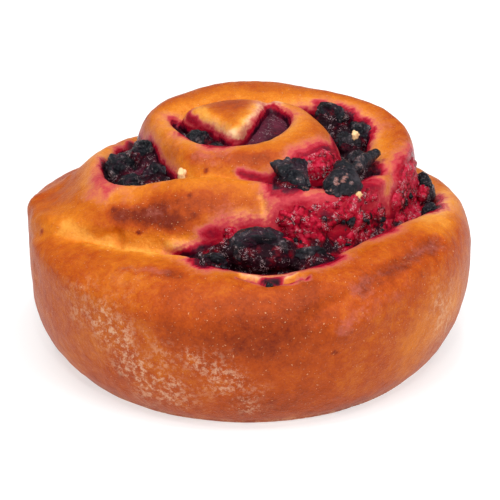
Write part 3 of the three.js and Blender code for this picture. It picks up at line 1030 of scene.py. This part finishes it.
def berry_material():
    made, tree, skin = new_material("baked_berry_skin")
    patch = grain(tree, 240, 4, 0.6)
    fine = grain(tree, 1300, 3, 0.7)
    level = maths(tree, "MULTIPLY_ADD", reads(tree, "hollow"), 0.3, times(tree, patch, 0.7))
    colour = ramp(
        tree,
        level,
        (0.3, (0.003, 0.004, 0.006)),
        (0.5, (0.008, 0.008, 0.012)),
        (0.7, (0.030, 0.006, 0.016)),
        (0.95, (0.12, 0.01, 0.035)),
    )
    # grey patches: the berries' waxy bloom, with painted sheen
    bloom_and_sheen = times(tree, window(tree, grain(tree, 210, 4, 0.65), 0.5, 0.66), 0.55)
    colour = blend_colour(tree, bloom_and_sheen, colour, (0.062, 0.050, 0.060, 1))
    torn = times(tree, window(tree, grain(tree, 420, 3, 0.6), 0.58, 0.66), reads(tree, "torn"))
    colour = blend_colour(tree, times(tree, torn, 0.7), colour, (0.34, 0.13, 0.10, 1))
    # painted glints: thin pale lines over the berry skins
    painted_glint = use(tree, painted_glint_squiggles, size=1.2, spread=0.45)["Mask"]
    colour = blend_colour(tree, times(tree, painted_glint, 0.45), colour, (0.6, 0.5, 0.52, 1))
    feed(tree, skin.inputs["Base Color"], colour)
    feed(tree, skin.inputs["Roughness"], maths(tree, "MULTIPLY_ADD", patch, 0.3, 0.02))
    skin.inputs["IOR"].default_value = 1.25
    relief(tree, skin, maths(tree, "MULTIPLY_ADD", patch, 1.2, fine), 0.8, 0.6)
    return made


# ---------------------------------------------------------------- painting the dough
def nearness(points, piece, reach):
    """Distance in millimetres from each point to a piece, up to reach."""
    tree = face_of(piece)
    away = np.full(len(points), reach)
    low = vertices_of(piece).min(0) - reach * MM
    high = vertices_of(piece).max(0) + reach * MM
    near = np.nonzero(((points > low) & (points < high)).all(1))[0]
    for i in near:
        found = tree.find_nearest(points[i], reach * MM)
        if found[0] is not None:
            away[i] = found[3] / MM
    return away


TONGUE_SIDE = [(-14, 14, 53), (-10, 7, 53), (-4, -1, 52)]
TORN_SIDE = [(-3, -1, 53), (2, 5, 55), (6, 16, 55)]
CRESCENT = [(-1, -40, 37), (5, -43, 37), (11, -40, 37)]
STAINS = [
    # stroke, width, strength
    ([(-10, -26, 40), (-5, -26, 40)], 4.5, 0.62),
    ([(-1, -25, 43), (8, -25, 43)], 4, 0.24),
    ([(7, -25, 43), (10, -25, 44)], 3, 0.5),
    ([(-2, -13, 50), (5, -14, 48)], 2.6, 0.62),
    (SIDE_FOLD[1:], 4.5, 0.1),
    ([(-30, -19, 42), (-20, -22, 43)], 4.5, 0.08),
    ([(22, -51, 29), (37, -39, 33)], 5, 0.1),
    (TORN_SIDE, 4.4, 0.3),
    (TONGUE_SIDE, 2.8, 0.55),
    ([(-36, 6, 42), (-36, -7, 45), (-34, -12, 45)], 7, 0.34),
    ([(-34, 13, 40), (-31, 19, 40), (-29, 24, 39)], 3.2, 0.85),
    ([(17, 23, 52), (25, 21, 51), (30, 10, 49)], 2.4, 0.55),
    # near black along the slit: juice in it, and painted shade of a slit too narrow for the mesh
    (LIP_SPLIT, 2.4, 1.3),
    (CRESCENT, 1.6, 0.3),
    ([(36, -9, 46), (39, 4, 46)], 3.6, 0.4),
    ([(16, -24, 46), (24, -21, 47), (30, -16, 46)], 3, 0.42),
    ([(-25, -38, 37), (-19, -40, 37)], 2.2, 0.2),
    ([(21, -4, 51), (21, 7, 52)], 2.6, 0.5),
]
BAKED = [
    # stroke, width, how much browner (or paler)
    ([(-13, -53, 29), (14, -53, 29)], 14, 0.14),
    ([(0, -55, 22), (12, -53, 18)], 16, 0.07),
    ([(42, -33, 14), (48, -22, 20)], 16, -0.2),
    ([(44, -16, 35), (48, -4, 34), (50, 8, 33)], 8, -0.22),
    ([(-52, -6, 34), (-46, -14, 37)], 9, -0.12),
    (VALLEY, 3.4, -0.16),
    (VALLEY_RIM, 1.8, -0.2),
    (BULGE, 3.2, -0.12),
    ([(-31, -21, 36), (-17, -27, 38)], 4.5, -0.12),
    ([(-30, -19, 42), (-22, -22, 42), (-16, -24, 42)], 5, 0.26),
    ([(-37, 2, 43), (-36, -8, 45)], 6, 0.12),
    ([(-21, -20, 45), (-7, -23, 46)], 5, 0.12),
    ([(-1, -25, 43), (8, -25, 43)], 4, -0.34),
    ([(-11, -10, 52), (3, -12, 52)], 5, 0.2),
    ([(-4, 17, 56), (0, 12, 57)], 7, 0.1),
    ([(-12, 12, 55), (-5, 1, 54)], 3.4, -0.3),
    (TORN_SIDE, 4.6, -0.7),
    (SIDE_FOLD[1:], 3.4, 0.2),
    (CRESCENT, 1.7, -0.6),
    # browner along the slit: painted shade of the slit
    (LIP_SPLIT, 2.2, 0.3),
    ([(34, -12, 42), (36, -11, 35)], 2, -0.7),
    (CREST_DENT, 3.4, 0.3),
    (SCRATCH, 0.9, -0.35),
    ([(-28, -37, 37), (-16, -41, 37)], 3, 0.18),
]
DARK_SPECKS = [
    (-26, -23, 39), (-49, -13, 34), (-32, -17, 42), (-10, -12, 50), (-25, 18, 50), (33, -3, 49),
    (-14, -21, 48), (20, -51, 22),
]
FLOURED = [
    ([(-34, -43, 26), (-29, -46, 20), (-23, -48, 11)], 13, 1),
    ([(-11, -54, 20), (0, -54, 9)], 9, 0.8),
    ([(46, -31, 25), (48, -25, 13)], 9, 0.8),
]


def lip_distance(points):
    """How far each point is from the nearest lip of the seam, in millimetres."""
    angles = range(TAIL_ANGLE + 5, STRIP_END, 3)
    lips = KDTree(2 * len(angles))
    for number, a in enumerate(angles):
        for side in (-1, 1):
            spot = place(a, seam_radius(a) + side * (half_opening(a) + 0.5), lip_height(a))
            lips.insert(spot, 2 * number + (side > 0))
    lips.balance()
    return np.array([lips.find(point)[2] for point in points]) / MM


def paint_dough(dough, jam):
    points = vertices_of(dough)
    height = points[:, 2] / MM
    away = nearness(points, jam, 9)
    patchy = clouds(points, 5, 31, 3)
    pulp = np.clip(boiled_mask(points, 2) * 3, 0, 1)
    for stroke, width in BLACK_STRANDS:
        pulp *= 1 - brush(points, stroke, width * 1.2)
    stain = lerp(0.72, 0.46, pulp) * np.exp(-np.clip(away - 0.4, 0, 9) / lerp(1.1, 2.0, pulp))
    stain = (stain + lerp(0.18, 0.1, pulp) * np.exp(-away / 3.2)) * (1 + 0.35 * patchy)
    face = face_of(dough)
    for stroke, width, strength in STAINS:
        spot = strength * brush(points, settled(stroke, face), width, 0.3)
        stain = np.maximum(stain, spot * (1 + 0.35 * patchy))
    bake = 0.46 + 0.24 * smooth(lip_distance(points), 1, 8) + 0.06 * clouds(points, 16, 32, 3)
    # a little darker towards the bottom of the wall
    bake += 0.06 * smooth(-height, -24, -6)
    for stroke, width, more in BAKED:
        bake += more * brush(points, settled(stroke, face), width, 0.3)
    for spot in DARK_SPECKS:
        bake += 0.7 * brush(points, settled([spot, spot], face), 0.9)
    bake -= 0.25 * np.exp(-away / 1.6)
    flour = np.zeros(len(points))
    for stroke, width, strength in FLOURED:
        flour = np.maximum(flour, strength * brush(points, settled(stroke, face), width, 0.4))
    flour = np.maximum(flour, 0.9 * smooth(-height, -2.5, -0.5))
    store(dough, "bake", bake)
    store(dough, "stain", stain)
    store(dough, "wet", np.exp(-away / 1.2))
    store(dough, "flour", flour)


dough = make_dough()
shape_dough(dough)
flatten_base(dough)
jam = make_jam(dough)
paint_dough(dough, jam)
work_on(dough)
bpy.ops.object.shade_smooth()
dough.data.materials.clear()
dough.data.materials.append(crust_material())
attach(dough, "root")
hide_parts("dough_swirl")

jam.data.materials.clear()
jam.data.materials.append(jam_material())
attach(jam, "root")
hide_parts("berry_filling")

berry_skin = berry_material()
for number, row in enumerate(BERRIES):
    make_berry(number, *row)
for number, row in enumerate(SKINS):
    make_skin(number, *row)
bits = scatter("berry_bits", [stroke for stroke, width in BLACK_STRANDS], 0.9, 0.35, 0.9, jam)
bits.data.materials.append(berry_skin)
slit_berry = scatter("berry_in_the_slit", [[(5, -45, 37)]], 1, 1.2, 1.3, dough)
slit_berry.data.materials.append(berry_skin)
for name, spot, size, piece in [
    ("crumb_on_the_second_turn", (-16, -10, 48), 1.5, dough),
    ("crumb_on_the_lip", (26, -19, 47), 1.0, dough),
    ("crumb_on_a_berry", (28, 4, 55), 1.1, bpy.data.objects["berry_back_inner_baked"]),
]:
    crumb = scatter(name, [[spot]], 1, size, 1.1 * size, piece)
    crumb.data.materials.append(dough.data.materials[0])


# ---------------------------------------------------------------- the stage
CAMERA_TARGET = (0.5, 0, 22.6)
CAMERA_DISTANCE = 700
CAMERA_ELEVATION = 27
CAMERA_LENS = 203
LARGE_BOXES = [
    # name, place in metres, width, power
    ("overhead_box", (0, -0.1, 0.95), 0.9, 6.6),
    ("left_front_box", (-0.5, -0.6, 0.5), 0.3, 1.8),
    ("right_front_box", (0.5, -0.5, 0.5), 0.3, 2.4),
]
# Places in metres.
SMALL_LAMPS = [(-0.25, -0.35, 0.8), (0.1, 0.1, 0.9), (0.3, -0.3, 0.75), (0, -0.6, 0.7)]


def make_camera():
    """Looks down on the front from a little above the table, from well back."""
    elevation = math.radians(CAMERA_ELEVATION)
    target = Vector(CAMERA_TARGET) * MM
    back = Vector((0, -math.cos(elevation), math.sin(elevation)))
    camera = bpy.data.cameras.new("camera")
    holder = bpy.data.objects.new("camera", camera)
    bpy.context.scene.collection.objects.link(holder)
    holder.location = target + back * CAMERA_DISTANCE * MM
    holder.rotation_euler = (-back).to_track_quat("-Z", "Y").to_euler()
    camera.lens = CAMERA_LENS
    bpy.context.scene.camera = holder


def soft_light(name, where, size, power):
    light = bpy.data.lights.new(name, "AREA")
    light.shape = "DISK"
    light.size = size
    light.energy = power
    holder = bpy.data.objects.new(name, light)
    holder.location = where
    aim = Vector((0, 0, 0.025)) - Vector(where)
    holder.rotation_euler = aim.to_track_quat("-Z", "Y").to_euler()
    bpy.context.scene.collection.objects.link(holder)


def make_floor():
    bpy.ops.mesh.primitive_plane_add(size=6)
    floor = start("floor")
    made, _, paint = new_material("white_paper")
    paint.inputs["Base Color"].default_value = (0.5, 0.5, 0.5, 1)
    paint.inputs["Roughness"].default_value = 0.9
    paint.inputs["Emission Color"].default_value = (1, 1, 1, 1)
    paint.inputs["Emission Strength"].default_value = 0.55
    floor.data.materials.append(made)


def make_world():
    world = bpy.data.worlds.new("studio")
    bpy.context.scene.world = world
    world.use_nodes = True
    air = world.node_tree.nodes["Background"]
    air.inputs["Color"].default_value = (1, 1, 1, 1)
    air.inputs["Strength"].default_value = 0.3


make_camera()
for box in LARGE_BOXES:
    soft_light(*box)
for number, where in enumerate(SMALL_LAMPS):
    soft_light("small_lamp_%d" % number, where, 0.06, 0.8)
make_floor()
make_world()
bpy.context.scene.view_settings.view_transform = "Standard"
